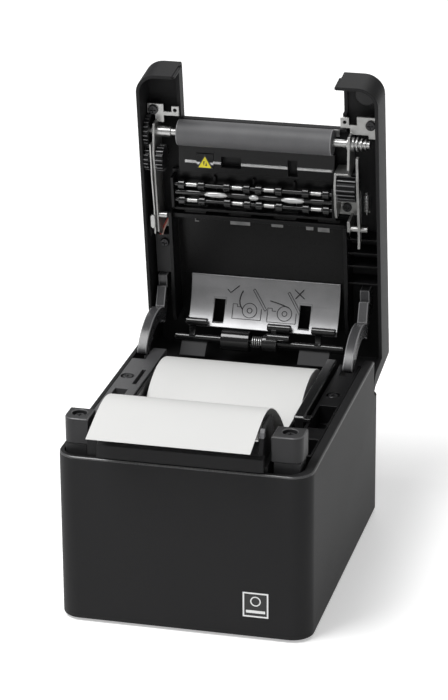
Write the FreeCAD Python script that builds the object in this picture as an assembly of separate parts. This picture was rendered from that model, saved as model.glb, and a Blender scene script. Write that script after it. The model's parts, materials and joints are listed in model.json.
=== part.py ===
import FreeCAD, Part
import math
import os

# Receipt printer with a hinged cover, drawn with the cover standing open.
# Units are millimetres. X is across the paper, Y runs from front to back, Z is up.
# The origin is the middle of the footprint, on the plane the feet stand on.
# Cover parts are drawn in their closed place and turned open about the hinge.

# ---- outside ----
WIDTH = 125.0
DEPTH = 165.0
HEIGHT = 108.0
FOOT = 1.5
RIM = 87.0
WALL = 2.5
COVER_WALL = 1.8
FRONT_R = 10.5
REAR_R = 7.0
GAP = 0.3

HALF_W = WIDTH / 2
HALF_D = DEPTH / 2
INNER_W = HALF_W - WALL
INNER_D = HALF_D - WALL
CEILING = HEIGHT - WALL
COVER_IN_W = HALF_W - COVER_WALL
COVER_IN_D = HALF_D - COVER_WALL

# ---- hinge ----
HINGE_Y = 76.24
HINGE_Z = 72.45
OPEN_ANGLE = 82.1
KNUCKLE_R = HALF_D - HINGE_Y
RELIEF_R = KNUCKLE_R + 0.5
PIN_R = 1.5
EYE_R = 3.2
REAR_RIM = 65.9

# ---- paper ----
PAPER_X = -3.0
PAPER_W = 79.5
ROLL_R = 40.0
ROLL_Y = 36.8
ROLL_Z = 50.1
CORE_R = 8.4
CORE_BORE_R = 6.25
WEB_T = 0.3
PAPER_L = PAPER_X - PAPER_W / 2
PAPER_R = PAPER_X + PAPER_W / 2

# ---- paper bucket ----
BUCKET_R = 41.2
BUCKET_Z = 51.0
BUCKET_T = 1.6
BUCKET_SIDE = 1.3
BUCKET_L = PAPER_L - 1.45
BUCKET_RIGHT = PAPER_R + 1.45
DECK = RIM - 0.2
DECK_T = 4.5

# ---- platen and gears ----
PLATEN_Y = -47.3
PLATEN_Z = 96.8
PLATEN_R = 6.75
PLATEN_L = -43.9
PLATEN_RIGHT = 37.3
SHAFT_R = 2.0
GEAR_MODULE = 0.7
PLATEN_TEETH = 22
IDLER_TEETH = 18
IDLER_Y = -33.6
IDLER_Z = 93.9
WIDE_Y = -23.5
WIDE_Z = 95.4
WIDE_TEETH = 18
RUN = 0.06

# ---- cover notch ----
NOTCH_L = -43.1
NOTCH_RIGHT = 41.5
NOTCH_BACK = -51.5

# ---- guide rollers, latches, stays ----
ROLLER_YS = (-17.5, -8.5)
ROLLER_Z = 97.5
SPOOLS = (-45.2, -21.1, -4.3, 20.4)
SPOOL_L = 14.0
LATCH_PIVOT_Y = -1.5
LATCH_PIVOT_Z = 92.4
STAY_IN = 22.5
STAY_OUT = 30.0
LEAD_R = 0.5
LEAD_X = -57.2
LEVER_Y = 67.0
LEVER_Z = 87.5
LEVER_R = 5.6
LEVER_ROD_R = 1.8

# ---- front of the case ----
DRIVE_Y = -45.5
DRIVE_Z = 80.6
POST_FRONT = -76.2
POST_BACK = -62.5
POST_TOP = 104.0
POST_SCREW_Y = -68.5
LEFT_POST = (-59.7, -47.2)
RIGHT_POST = (42.3, 57.2)

# ---- case fittings ----
ROCKER_Y = -52.0
ROCKER_Z = 32.0
ROCKER_X = -58.0
ROCKER_TILT = 7.0
FOOT_XS = (-46.0, 46.0)
FOOT_YS = (-64.0, 64.0)
BASE_SCREW_XS = (-40.0, 40.0)
BASE_SCREW_YS = (-45.0, 45.0)
BASE_SCREW_R = 2.1
PORTS = ((-42.0, -27.0), (-12.0, 2.0), (18.0, 33.0))

# ---- controls and bosses in the cover ----
COVER_BOSSES = ((-56.9, -58.6), (56.4, -57.6))
BOSS_R = 2.8
GEAR_L = -60.4
GEAR_RIGHT = -58.0
FEED_X = 53.0
FEED_Y = -71.0
LAMP_XS = (49.0, 53.0, 57.0)
LAMP_Y = -62.0

X_AXIS = FreeCAD.Vector(1, 0, 0)
Y_AXIS = FreeCAD.Vector(0, 1, 0)
Z_AXIS = FreeCAD.Vector(0, 0, 1)


def point(x, y, z):
    return FreeCAD.Vector(x, y, z)


def box(x0, x1, y0, y1, z0, z1):
    return Part.makeBox(x1 - x0, y1 - y0, z1 - z0, point(x0, y0, z0))


def rod_x(x0, x1, y, z, radius):
    return Part.makeCylinder(radius, x1 - x0, point(x0, y, z), X_AXIS)


def rod_y(y0, y1, x, z, radius):
    return Part.makeCylinder(radius, y1 - y0, point(x, y0, z), Y_AXIS)


def rod_z(z0, z1, x, y, radius):
    return Part.makeCylinder(radius, z1 - z0, point(x, y, z0), Z_AXIS)


def tube_x(x0, x1, y, z, outer, inner):
    return rod_x(x0, x1, y, z, outer).cut(rod_x(x0 - 1, x1 + 1, y, z, inner))


def fuse(shapes):
    shapes = list(shapes)
    if len(shapes) == 1:
        return shapes[0]
    return shapes[0].multiFuse(shapes[1:]).removeSplitter()


def cut(shape, tools):
    return shape.cut(list(tools))


def group(shapes):
    return Part.makeCompound(list(shapes))


def profile_x(corners, x0, x1):
    """Straight-sided outline in Y and Z, drawn out along X."""
    loop = [point(x0, y, z) for y, z in corners]
    face = Part.Face(Part.makePolygon(loop + loop[:1]))
    return face.extrude(point(x1 - x0, 0, 0))


def polar(radius, degrees, y=HINGE_Y, z=HINGE_Z):
    angle = math.radians(degrees)
    return y + radius * math.cos(angle), z + radius * math.sin(angle)


def sector_x(x0, x1, y, z, inner, outer, start, end):
    """Part of a ring about an X axis, from one angle to another."""
    middle = (start + end) / 2

    def at(radius, degrees):
        py, pz = polar(radius, degrees, y, z)
        return point(x0, py, pz)

    edges = [
        Part.Arc(at(outer, start), at(outer, middle), at(outer, end)).toShape(),
        Part.LineSegment(at(outer, end), at(inner, end)).toShape(),
        Part.Arc(at(inner, end), at(inner, middle), at(inner, start)).toShape(),
        Part.LineSegment(at(inner, start), at(outer, start)).toShape(),
    ]
    return Part.Face(Part.Wire(edges)).extrude(point(x1 - x0, 0, 0))


def rounded_block(x0, x1, y0, y1, z0, z1, front_r, rear_r):
    """Block whose upright edges are rounded, front and rear apart."""
    block = box(x0, x1, y0, y1, z0, z1)
    for radius, y in ((front_r, y0), (rear_r, y1)):
        uprights = [e for e in block.Edges if is_upright(e) and abs(e.Vertexes[0].Y - y) < 0.01]
        block = block.makeFillet(radius, uprights)
    return block


def is_upright(edge):
    ends = edge.Vertexes
    return len(ends) == 2 and abs(ends[0].X - ends[1].X) + abs(ends[0].Y - ends[1].Y) < 0.001


def edges_at(shape, z):
    return [e for e in shape.Edges if abs(e.BoundBox.ZMin - z) < 0.01 and abs(e.BoundBox.ZMax - z) < 0.01]


def gear_x(x0, x1, y, z, teeth, bore, turn=0.0, module=GEAR_MODULE):
    """Spur gear about an X axis. Its teeth are thin enough to mesh with play."""
    pitch = module * teeth / 2
    root = pitch - 1.1 * module
    tip = pitch + 0.9 * module
    step = 360.0 / teeth
    corners = []
    for tooth in range(teeth):
        middle = turn + tooth * step
        for radius, part in ((root, -0.27), (tip, -0.1), (tip, 0.1), (root, 0.27)):
            corners.append(polar(radius, middle + part * step, y, z))
    blank = profile_x(corners, x0, x1)
    if bore:
        return blank.cut(rod_x(x0 - 1, x1 + 1, y, z, bore))
    return blank


def screw(x, y, z, head_r=2.6, length=7.0):
    """Pan-head cross screw driven down to a seat at z."""
    head = rod_z(z, z + 1.4, x, y, head_r)
    head = head.makeFillet(0.5, edges_at(head, z + 1.4))
    cross = [box(x - 1.5, x + 1.5, y - 0.3, y + 0.3, z + 0.7, z + 2),
             box(x - 0.3, x + 0.3, y - 1.5, y + 1.5, z + 0.7, z + 2)]
    return cut(head.fuse(rod_z(z - length, z, x, y, 1.3)), cross)


def screw_under(x, y, z, head_r=2.6, length=5.0):
    """The same screw driven upwards, its head below z."""
    shape = screw(x, y, 0, head_r, length)
    shape.rotate(point(x, y, 0), X_AXIS, 180)
    shape.translate(point(0, 0, z))
    return shape


def opened(shape):
    """Turn a closed cover part to its open place."""
    turned = shape.copy()
    turned.rotate(point(0, HINGE_Y, HINGE_Z), X_AXIS, -OPEN_ANGLE)
    return turned


# ---------------------------------------------------------------- case

def lower_case():
    shell = rounded_block(-HALF_W, HALF_W, -HALF_D, HALF_D, FOOT, RIM, FRONT_R, REAR_R)
    shell = shell.makeFillet(1.2, edges_at(shell, RIM))
    hollow = rounded_block(-INNER_W, INNER_W, -INNER_D, INNER_D, 0, RIM - WALL,
                           FRONT_R - WALL, REAR_R - WALL)
    mouth = rounded_block(-INNER_W, HALF_W - 5, -INNER_D, INNER_D, RIM - 4, RIM + 1,
                          FRONT_R - WALL, REAR_R - WALL)
    relief = [rod_x(-70, 70, HINGE_Y, HINGE_Z, RELIEF_R),
              box(-70, 70, HINGE_Y - RELIEF_R, 90, HINGE_Z, 90),
              box(-70, 70, HINGE_Y, 90, REAR_RIM, 90)]
    windows = [box(x0, x1, 79, 84, 8, 18.5) for x0, x1 in PORTS]
    switch_hole = box(-64, -59, ROCKER_Y - 8, ROCKER_Y + 8, ROCKER_Z - 5.5, ROCKER_Z + 5.5)
    return cut(shell, [hollow, mouth, switch_hole] + relief + windows)


def base_plate():
    plate = rounded_block(-INNER_W + GAP, INNER_W - GAP, -INNER_D + GAP, INNER_D - GAP,
                          FOOT, FOOT + 2.2, FRONT_R - WALL, REAR_R - WALL)
    vents = [box(x, x + 2, -20, 20, 0, 9) for x in range(-24, 25, 6)]
    screws = [rod_z(0, 9, x, y, BASE_SCREW_R) for x in BASE_SCREW_XS for y in BASE_SCREW_YS]
    return cut(plate, vents + screws)


def rubber_feet():
    return group(rod_z(0, FOOT, x, y, 7.0) for x in FOOT_XS for y in FOOT_YS)


def bucket_outline(radius, x0, x1):
    """Trough: a rear wall, a round bottom and a straight slope up to the front."""
    rear = 14.0
    front = 212.0
    top = DECK - 0.8
    rear_y, rear_z = polar(radius, rear, ROLL_Y, BUCKET_Z)
    front_y, front_z = polar(radius, front, ROLL_Y, BUCKET_Z)
    slope = math.radians(front - 90)
    reach = (top - front_z) / math.sin(slope)
    lip_y = front_y + reach * math.cos(slope)
    bottom_y, bottom_z = polar(radius, (front + rear) / 2 + 180, ROLL_Y, BUCKET_Z)
    edges = [
        Part.Arc(point(x0, rear_y, rear_z), point(x0, bottom_y, bottom_z),
                 point(x0, front_y, front_z)).toShape(),
        Part.LineSegment(point(x0, front_y, front_z), point(x0, lip_y, top)).toShape(),
        Part.LineSegment(point(x0, lip_y, top), point(x0, 56, top)).toShape(),
        Part.LineSegment(point(x0, 56, top), point(x0, 66, 64)).toShape(),
        Part.LineSegment(point(x0, 66, 64), point(x0, rear_y, rear_z)).toShape(),
    ]
    return Part.Face(Part.Wire(edges)).extrude(point(x1 - x0, 0, 0))


def paper_bucket():
    outer = bucket_outline(BUCKET_R + BUCKET_T, BUCKET_L - BUCKET_SIDE, BUCKET_RIGHT + BUCKET_SIDE)
    inner = bucket_outline(BUCKET_R, BUCKET_L, BUCKET_RIGHT)
    mouth = profile_x([(-45, DECK + 1), (77.3, DECK + 1), (77.3, 58), (60, 58), (40, 66), (-20, 70)],
                      BUCKET_L, BUCKET_RIGHT)
    return cut(outer, [inner, mouth])


def bucket_rail():
    x0 = BUCKET_RIGHT + BUCKET_SIDE + 0.2
    x1 = x0 + 5.2
    rail = profile_x([(-17.3, 80), (60, 80), (60, 90), (-16.3, 90), (-17.3, 89)], x0, x1)
    tops = [e for e in rail.Edges if e.BoundBox.ZMin > 89.9 and e.BoundBox.YLength > 5]
    return fuse([rail.makeFillet(0.8, tops), box(x1 - 1, 48, -17.3, -12, DECK + 0.3, 89)])


def left_deck():
    x0 = -INNER_W + 0.2
    x1 = BUCKET_L - BUCKET_SIDE - 0.2
    deck = box(x0, x1, -56, 62, DECK - DECK_T, RIM)
    skirt = box(x1 - 1.6, x1, -56, 62, 77, RIM)
    openings = [
        box(x0 - 1, -52.8, 46, 63, 60, 90),
        box(x0 - 1, -51.5, -53.5, -36, 60, 90),
        box(-57, -50.5, -8, 5, RIM - 3.4, 90),
        box(-50.4, -48.4, 12, 32, RIM - 2.5, 90),
        rod_z(RIM - 1.6, 90, -55.6, 22, 3.4),
        rod_z(60, 90, -55.6, 22, 1.4),
    ]
    return cut(fuse([deck, skirt]), openings)


def right_deck():
    x0 = 46.0
    x1 = HALF_W - 5.3
    deck = box(x0, x1, -56, 62, DECK - DECK_T - 8, DECK)
    openings = [
        box(48.9, 55.2, 46, 63, 60, 90),
        box(47.6, 56.3, -22, 6.7, DECK - 10, 90),
        box(47.6, 56.3, -54, -36, DECK - 10, 90),
        rod_z(DECK - 1.6, 90, 51.3, 21, 3.4),
        rod_z(60, 90, 51.3, 21, 1.4),
    ]
    return cut(deck, openings)


def post(x0, x1, corner_x):
    """Upright block beside the front guide, with a sunk screw in its top."""
    upper = box(x0, x1, POST_FRONT, POST_BACK, 91, POST_TOP)
    corner = [e for e in upper.Edges
              if is_upright(e) and abs(e.Vertexes[0].X - corner_x) < 0.01
              and abs(e.Vertexes[0].Y - POST_FRONT) < 0.01]
    upper = upper.makeFillet(5.0, corner)
    upper = upper.makeFillet(0.8, edges_at(upper, POST_TOP))
    inset = 0.9
    lower = box(x0 + inset, x1 - inset, POST_FRONT + inset, POST_BACK, 78, 91)
    middle = (x0 + x1) / 2
    holes = [rod_z(POST_TOP - 2.6, POST_TOP + 1, middle, POST_SCREW_Y, 3.6),
             rod_z(80, POST_TOP, middle, POST_SCREW_Y, 1.4)]
    return cut(fuse([upper, lower]), holes)


def deck_screws():
    left_x = sum(LEFT_POST) / 2
    right_x = sum(RIGHT_POST) / 2
    seat = POST_TOP - 2.6
    return group([screw(left_x, POST_SCREW_Y, seat), screw(right_x, POST_SCREW_Y, seat),
                  screw(-55.6, 22, RIM - 1.6, 2.7, 4), screw(51.3, 21, DECK - 1.6, 2.7, 4)])


def front_guide():
    x0 = -46.9
    x1 = 41.4
    body = profile_x([(-79.6, 80), (-79.6, 95.5), (-75, 100.3), (-57, 100.3), (-57, 80)], x0, 39.2)
    rise = profile_x([(-76, 100), (-72, 102.3), (-57, 102.3), (-57, 100)], NOTCH_L + 0.4, 39.2)
    step = box(38, x1, -79.6, -57, 80, 90)
    brow = profile_x([(-82, RIM + GAP), (-82, 94), (-79, 95.4), (-79, RIM + GAP)],
                     NOTCH_L + 1.5, NOTCH_RIGHT - 1.5)
    ear = profile_x([(-79.6, 80), (-79.6, 95.5), (-77.6, 104.6), (-75.4, 106.4), (-72.5, 107.4), (-64, 107.9),
                     (-59.4, 107.9), (-57.8, 106.6), (-57.8, 80)], PAPER_R + 0.2, 39.2)
    tab = profile_x([(-78.6, 103.4), (-77.9, 106.0), (-75.8, 107.7), (-75.2, 103.4)], PAPER_R + 0.2, 39.5)
    hollows = [box(-43, 36.9, -62, -55, 84, 101), box(-20, 30, -76, -63, 70, 90),
               box(-48, -42.8, -61.3, -55, 97.7, 103)]
    return fuse([cut(fuse([body, rise, step, brow]), hollows), ear, tab])


def thermal_head():
    plate = box(-42.5, 36.5, -57.6, -56.2, 87, 100.8)
    heater = profile_x([(-56.2, 95), (-55.6, 96), (-55.6, 97.6), (-56.2, 98.6)], -41, 35)
    return fuse([plate, heater])


def head_heatsink():
    bar = box(-42.5, 36.5, -61.6, -57.6, 88, 100)
    grooves = [box(x, x + 1.6, -62, -59.4, 88, 101) for x in range(-40, 34, 4)]
    return cut(bar, grooves)


def cutter_blade():
    corners = [(-40, -74), (34, -74), (34, -60), (-3, -62.5), (-40, -60)]
    loop = [point(x, y, 102.6) for x, y in corners]
    return Part.Face(Part.makePolygon(loop + loop[:1])).extrude(point(0, 0, 0.8))


def cutter_cover():
    plate = profile_x([(-77.5, 101.2), (-77.5, 102.2), (-75.5, 104.6), (-59, 104.6), (-59, 103.7),
                       (-75, 103.7), (-76.5, 101.9)], -42.3, 36.5)
    feet = [box(x, x + 2, -75.6, -73.8, 102.3, 103.8) for x in (-42.3, 34.5)]
    return fuse([plate] + feet)


def cutter_motor():
    can = rod_x(-2, 26, -69.4, 77.5, 6.0)
    return fuse([can, rod_x(26, 29, -69.4, 77.5, 1.0)])


def feed_motor():
    """Square stepping motor with the side plate that carries the drive gear's axle."""
    body = box(-52, -26, -78, -43, 41, 76)
    body = body.makeFillet(3.0, [e for e in body.Edges if e.BoundBox.XLength > 20])
    plate = profile_x([(-76, 45), (-76, 66), (-60, 74), (-52, 84), (-40, 84), (-40, 76), (-44, 45)],
                      -53.5, -52)
    return cut(fuse([body, plate]), [rod_x(-60, -50, DRIVE_Y, DRIVE_Z, 1.5 + RUN)])


def drive_gear():
    gear = gear_x(-59.8, -57.4, DRIVE_Y, DRIVE_Z, 16, 0, 11.25)
    return fuse([gear, rod_x(-57.4, -50.2, DRIVE_Y, DRIVE_Z, 1.5)])


def main_board():
    board = box(-55, 54, -74, 78, 5.4, 7.0)
    chips = [box(-50, -38, -70, -58, 7, 9), box(-20, 4, -72, -56, 7, 9.5), box(20, 32, -70, -60, 7, 12)]
    cans = [rod_z(7, 24, x, -66, 5) for x in (40, 52.0 - 1)]
    notch = box(-47, 41, 25, 50, 5, 8)
    return cut(fuse([board] + chips + cans), [notch])


def port(x0, x1):
    shell = box(x0 + GAP, x1 - GAP, 68, HALF_D - 0.2, 8.3, 18.2)
    return cut(shell, [box(x0 + 2, x1 - 2, 72, 84, 10, 16.5)])


def power_switch():
    """Rocker with a hollowed face, tilted on the pin at its back."""
    rocker = box(-61.6, ROCKER_X, ROCKER_Y - 6.4, ROCKER_Y + 6.4, ROCKER_Z - 3, ROCKER_Z + 3)
    rocker = cut(rocker, [rod_z(20, 40, -69.0, ROCKER_Y, 8.4)])
    rocker = rocker.fuse(rod_z(ROCKER_Z - 3, ROCKER_Z + 3, ROCKER_X, ROCKER_Y, 1.2))
    rocker.rotate(point(ROCKER_X, ROCKER_Y, 0), Z_AXIS, ROCKER_TILT)
    return rocker


def switch_frame():
    frame = box(-62.3, -55.2, ROCKER_Y - 7.9, ROCKER_Y + 7.9, ROCKER_Z - 5.4, ROCKER_Z + 5.4)
    return cut(frame, [box(-63, -56.4, ROCKER_Y - 7, ROCKER_Y + 7, ROCKER_Z - 3.3, ROCKER_Z + 3.3)])


def hinge_brackets():
    """Two upright plates behind the bucket that carry the cover's pins."""
    plates = []
    for x0, x1 in ((-57.0, -52.5), (52.5, 57.0)):
        column = box(x0, x1, 65.6, 69.4, 30, HINGE_Z + 2)
        neck = box(x0, x1, 69, HINGE_Y, HINGE_Z - 2, HINGE_Z + 2)
        foot = box(x0, x1, 65.6, INNER_D - 0.8, 30, 34)
        eye = rod_x(x0, x1, HINGE_Y, HINGE_Z, EYE_R)
        bore = rod_x(-70, 70, HINGE_Y, HINGE_Z, PIN_R + RUN)
        plates.append(cut(fuse([column, neck, foot, eye]), [bore]))
    return group(plates)


def front_mark():
    """Small square badge on the front wall."""
    return box(27.2, 40, -HALF_D - 0.2, -HALF_D, 12, 25)


def paper_roll():
    return tube_x(PAPER_L, PAPER_R, ROLL_Y, ROLL_Z, ROLL_R, CORE_R)


def roll_core():
    return tube_x(PAPER_L, PAPER_R, ROLL_Y, ROLL_Z, CORE_R, CORE_BORE_R)


def paper_web():
    """Paper from the front of the roll, over the guide and drooping in front."""
    start_y, start_z = polar(ROLL_R + 0.5, 204.7, ROLL_Y, ROLL_Z)
    path = [(start_y, start_z), (-13.5, 63), (-26, 88), (-33.5, 95.9), (-45.4, 104.6), (-54, 108.5),
            (-63, 110), (-73, 108.7), (-84.5, 105.5), (-95, 102.2)]
    curve = Part.BSplineCurve()
    curve.interpolate([point(PAPER_L, y, z) for y, z in path])
    back = Part.BSplineCurve()
    offset = []
    for i, (y, z) in enumerate(path):
        before = path[max(i - 1, 0)]
        after = path[min(i + 1, len(path) - 1)]
        length = math.hypot(after[0] - before[0], after[1] - before[1])
        ny = (after[1] - before[1]) / length
        nz = -(after[0] - before[0]) / length
        offset.append(point(PAPER_L, y + ny * WEB_T, z + nz * WEB_T))
    back.interpolate(offset)
    ends = [Part.LineSegment(curve.EndPoint, back.EndPoint).toShape(),
            Part.LineSegment(back.StartPoint, curve.StartPoint).toShape()]
    loop = Part.Wire(Part.sortEdges([curve.toShape(), ends[0], back.toShape(), ends[1]])[0])
    return Part.Face(loop).extrude(point(PAPER_W, 0, 0))


# ---------------------------------------------------------------- cover, drawn closed

def cover_block(half_w, half_d, top, front_r, rear_r, knuckle):
    """Block of the cover with its rear skirt running down round the hinge."""
    upper = rounded_block(-half_w, half_w, -half_d, half_d, RIM + GAP, top, front_r, rear_r)
    plan = rounded_block(-half_w, half_w, -half_d, half_d, HINGE_Z - knuckle, RIM + 2, front_r, rear_r)
    skirt = box(-half_w, half_w, HINGE_Y - knuckle, half_d, HINGE_Z, RIM + 1)
    skirt = skirt.fuse(rod_x(-half_w, half_w, HINGE_Y, HINGE_Z, knuckle))
    return upper, skirt.common(plan)


def top_cover():
    upper, skirt = cover_block(HALF_W, HALF_D, HEIGHT, FRONT_R, REAR_R, KNUCKLE_R)
    upper = upper.makeFillet(2.5, edges_at(upper, HEIGHT))
    outer = fuse([upper, skirt])
    in_upper, in_skirt = cover_block(COVER_IN_W, COVER_IN_D, CEILING, FRONT_R - COVER_WALL,
                                     REAR_R - COVER_WALL, KNUCKLE_R - COVER_WALL)
    hollow_front = box(-COVER_IN_W, COVER_IN_W, HINGE_Y - 9, HINGE_Y, HINGE_Z - 9, RIM + 3)
    hollow_under = box(-COVER_IN_W, COVER_IN_W, HINGE_Y - 9, HINGE_Y + 9, HINGE_Z - 9, HINGE_Z - 2.65)
    mouth = box(-COVER_IN_W, COVER_IN_W, -COVER_IN_D + 9, COVER_IN_D - 6, RIM - 1, RIM + 3)
    body = cut(outer, [in_upper.fuse(mouth), in_skirt, hollow_front, hollow_under])
    notch = box(NOTCH_L, NOTCH_RIGHT, -90, NOTCH_BACK, 80, 115)
    body = cut(body, [notch])
    returns = [
        box(NOTCH_L - 2, NOTCH_L, -80.2, NOTCH_BACK, 101, HEIGHT - 0.6),
        box(NOTCH_RIGHT, NOTCH_RIGHT + 2, -80.2, NOTCH_BACK, 101, HEIGHT - 0.6),
        box(NOTCH_L - 2, NOTCH_RIGHT + 2, NOTCH_BACK, NOTCH_BACK + 2, 104.4, HEIGHT - 0.6),
        box(NOTCH_L - 0.01, NOTCH_L + 1.2, -82.0, -80.6, RIM + 1, 100),
        box(NOTCH_RIGHT - 1.2, NOTCH_RIGHT + 0.01, -82.0, -80.6, RIM + 1, 100),
    ]
    bosses = [rod_z(99.6, CEILING + 0.5, x, y, BOSS_R) for x, y in COVER_BOSSES]
    returns[0] = returns[0].cut(rod_x(-50, -40, PLATEN_Y, PLATEN_Z, PLATEN_R + 0.6))
    returns[1] = returns[1].cut(box(40, 60, POST_FRONT - 0.6, POST_BACK + 0.6, 100, POST_TOP + 0.4))
    knuckles = [rod_x(x0, x1, HINGE_Y, HINGE_Z, KNUCKLE_R) for x0, x1 in ((-61.0, -57.4), (57.4, 61.0))]
    body = fuse([body] + returns + bosses + knuckles)
    holes = [rod_x(-61.5, -50, HINGE_Y, HINGE_Z, PIN_R), rod_x(50, 61.5, HINGE_Y, HINGE_Z, PIN_R),
             rod_z(104, 110, FEED_X, FEED_Y, 4.7), box(-64, -59, 0, 11, 93, 101)]
    holes += [rod_z(98, CEILING, x, y, 1.3) for x, y in COVER_BOSSES]
    holes += [rod_z(106.4, 110, x, LAMP_Y, 1.3) for x in LAMP_XS]
    return cut(body, holes)


def hinge_pins():
    return group([rod_x(-61.5, -52.2, HINGE_Y, HINGE_Z, PIN_R), rod_x(52.2, 61.5, HINGE_Y, HINGE_Z, PIN_R)])


def inner_cover():
    """Black liner: a ceiling panel with side walls, ribs and a windowed bar."""
    ceiling = box(-48.5, 44, -3, 37, 103.6, CEILING - 0.1)
    left = profile_x([(-3, 92), (-3, 105.4), (60, 105.4), (60, 92), (48, 90.5), (30, 92)], -50.3, -48.5)
    right = profile_x([(-1, 92), (-1, 105.4), (60, 105.4), (60, 92), (48, 90.5), (30, 92)], 42.2, 44)
    rear = box(-48.5, 44, 36, 66, 104.4, CEILING - 0.1)
    bar = box(-48.5, 42.2, -1, 1.2, 96, 105)
    windows = [box(x, x + 12, -3, 4, 98.5, 101.8) for x in (-44, -20, 4, 27)]
    ribs = [box(44, 60.6, y, y + 1, 95, 105.4) for y in (5.5, 13.5, 21, 31)]
    return cut(fuse([ceiling, left, right, rear, bar] + ribs), windows)


def left_bracket():
    side = profile_x([(-57, 98.2), (-57, 99.4), (-54.6, 99.4), (-54.6, 104.5), (-30, 104.5),
                      (-24, 103), (10, 103), (11.5, 96), (8, 91), (-26, 90), (-38, 89), (-53, 92.5),
                      (-53, 98.2)], -56.2, -55)
    flange = box(-60.2, -51.4, -61.8, -56.1, 98.2, 99.4).fuse(box(-56.2, -51.4, -57, -51.6, 98.2, 99.4))
    arm = box(-52, -47.3, -57.6, -55.4, 98.2, 99.4)
    tab = box(-47.4, -43.6, -60.8, -55.4, 98.2, 99.4)
    foot = box(-56.2, -50.8, 2, 10, 101.8, 103)
    stud = rod_x(-57.9, -50.6, LATCH_PIVOT_Y, LATCH_PIVOT_Z, 1.5)
    holes = [rod_x(-60, -50, PLATEN_Y, PLATEN_Z, 2.75), rod_x(-60, -50, IDLER_Y, IDLER_Z, 1.5 + RUN),
             rod_z(95, 102, *COVER_BOSSES[0], 1.4), rod_z(95, 102, -45.5, -58.6, 0.9)]
    return cut(fuse([side, flange, foot, stud, arm, tab]), holes)


def right_bracket():
    front = profile_x([(-57, 98.2), (-57, 99.4), (-52, 104.5), (-33, 104.5), (-31.6, 102), (-31.6, 92),
                       (-36, 89), (-53, 92.5), (-53, 98.2)], 45.6, 46.8)
    flange = fuse([box(49.2, 60.2, -61.8, -51.8, 98.2, 99.4), box(55, 60.2, -52, -49.8, 98.2, 99.4),
                   box(45.6, 50, -57, -51.8, 98.2, 99.4)])
    jog = box(38.2, 46.8, -32.4, -31.2, 92, 103)
    side = profile_x([(-32.4, 92), (-32.4, 103), (-7, 103), (-7, 92), (-14, 90), (-26, 90)], 38.2, 39.4)
    foot = box(38.2, 48.6, -13, -4.6, 101.8, 103)
    stud = rod_x(44.6, 55, LATCH_PIVOT_Y, LATCH_PIVOT_Z, 1.5)
    hanger = box(44.6, 46, -6, LATCH_PIVOT_Y + 1.5, LATCH_PIVOT_Z - 1.5, 103)
    tab = box(40.7, 45.2, -61.0, -55.2, 98.2, 99.4).fuse(box(44, 46, -57, -55.2, 98.2, 99.4))
    holes = [rod_x(40, 50, PLATEN_Y, PLATEN_Z, 3.6), rod_x(36, 42, WIDE_Y, WIDE_Z, 1.5 + RUN),
             rod_z(95, 102, *COVER_BOSSES[1], 1.4), rod_z(95, 110, 42.6, -9, 1.4),
             rod_z(95, 102, 43.0, -58.4, 0.9)]
    return cut(fuse([front, flange, jog, side, foot, stud, hanger, tab]), holes)


def platen_bushings():
    left = tube_x(-56.2, -47.4, PLATEN_Y, PLATEN_Z, 2.75, SHAFT_R + RUN)
    right = tube_x(44.6, 48.4, PLATEN_Y, PLATEN_Z, 3.6, SHAFT_R + RUN)
    return group([left, right])


def platen_roller():
    sleeve = tube_x(PLATEN_L, PLATEN_RIGHT, PLATEN_Y, PLATEN_Z, PLATEN_R, SHAFT_R)
    rims = [e for e in sleeve.Edges if abs(e.BoundBox.ZLength - 2 * PLATEN_R) < 0.1]
    return sleeve.makeChamfer(0.4, rims)


def platen_shaft():
    shaft = rod_x(GEAR_L, 56.2, PLATEN_Y, PLATEN_Z, SHAFT_R)
    rings = [tube_x(49.4, 50.2, PLATEN_Y, PLATEN_Z, 3.8, SHAFT_R - 0.1),
             tube_x(51.6, 52.4, PLATEN_Y, PLATEN_Z, 3.4, SHAFT_R - 0.1),
             tube_x(53.6, 54.4, PLATEN_Y, PLATEN_Z, 2.8, SHAFT_R - 0.1)]
    return fuse([shaft] + rings)


def platen_gear():
    return gear_x(GEAR_L, GEAR_RIGHT, PLATEN_Y, PLATEN_Z, PLATEN_TEETH, SHAFT_R, mesh_turn())


def mesh_turn():
    """Angle from the platen to the idler: a platen tooth points along it."""
    return math.degrees(math.atan2(IDLER_Z - PLATEN_Z, IDLER_Y - PLATEN_Y))


def idler_gear():
    turn = mesh_turn() + 180 + 180.0 / IDLER_TEETH
    outer = gear_x(GEAR_L, GEAR_RIGHT, IDLER_Y, IDLER_Z, IDLER_TEETH, 0, turn)
    inner = gear_x(-54.4, -50.6, IDLER_Y, IDLER_Z, IDLER_TEETH, 0, turn)
    return fuse([outer, inner, rod_x(GEAR_RIGHT, -54.4, IDLER_Y, IDLER_Z, 1.5)])


def wide_gear():
    gear = gear_x(39.8, 49.4, WIDE_Y, WIDE_Z, WIDE_TEETH, 0, 0, 0.76)
    return fuse([gear, rod_x(37.6, 39.8, WIDE_Y, WIDE_Z, 1.5)])


def roller_frame():
    """Black carrier of the two rows of small rollers."""
    top = box(-49.4, 37.4, -24, -4, 101.5, 103.5)
    cheeks = [profile_x([(-22, 94.8), (-22, 102), (-5, 102), (-5, 94.8)], x, x + 1.4) for x in (-48.8, 36.0)]
    webs = [box(x, x + 1.2, -22, -5, 99.5, 102) for x in (-27.2, -6.5, 15.0)]
    holes = [rod_x(-60, 50, y, ROLLER_Z, 1.2 + RUN) for y in ROLLER_YS]
    rear = box(-49.4, 37.4, -4.6, -3.4, 96, 103.5)
    slots = [box(x, x + 13, -6, -1, 98.5, 101) for x in (-44, -20, 4)]
    return cut(fuse([top, rear] + cheeks + webs), holes + slots)


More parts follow.
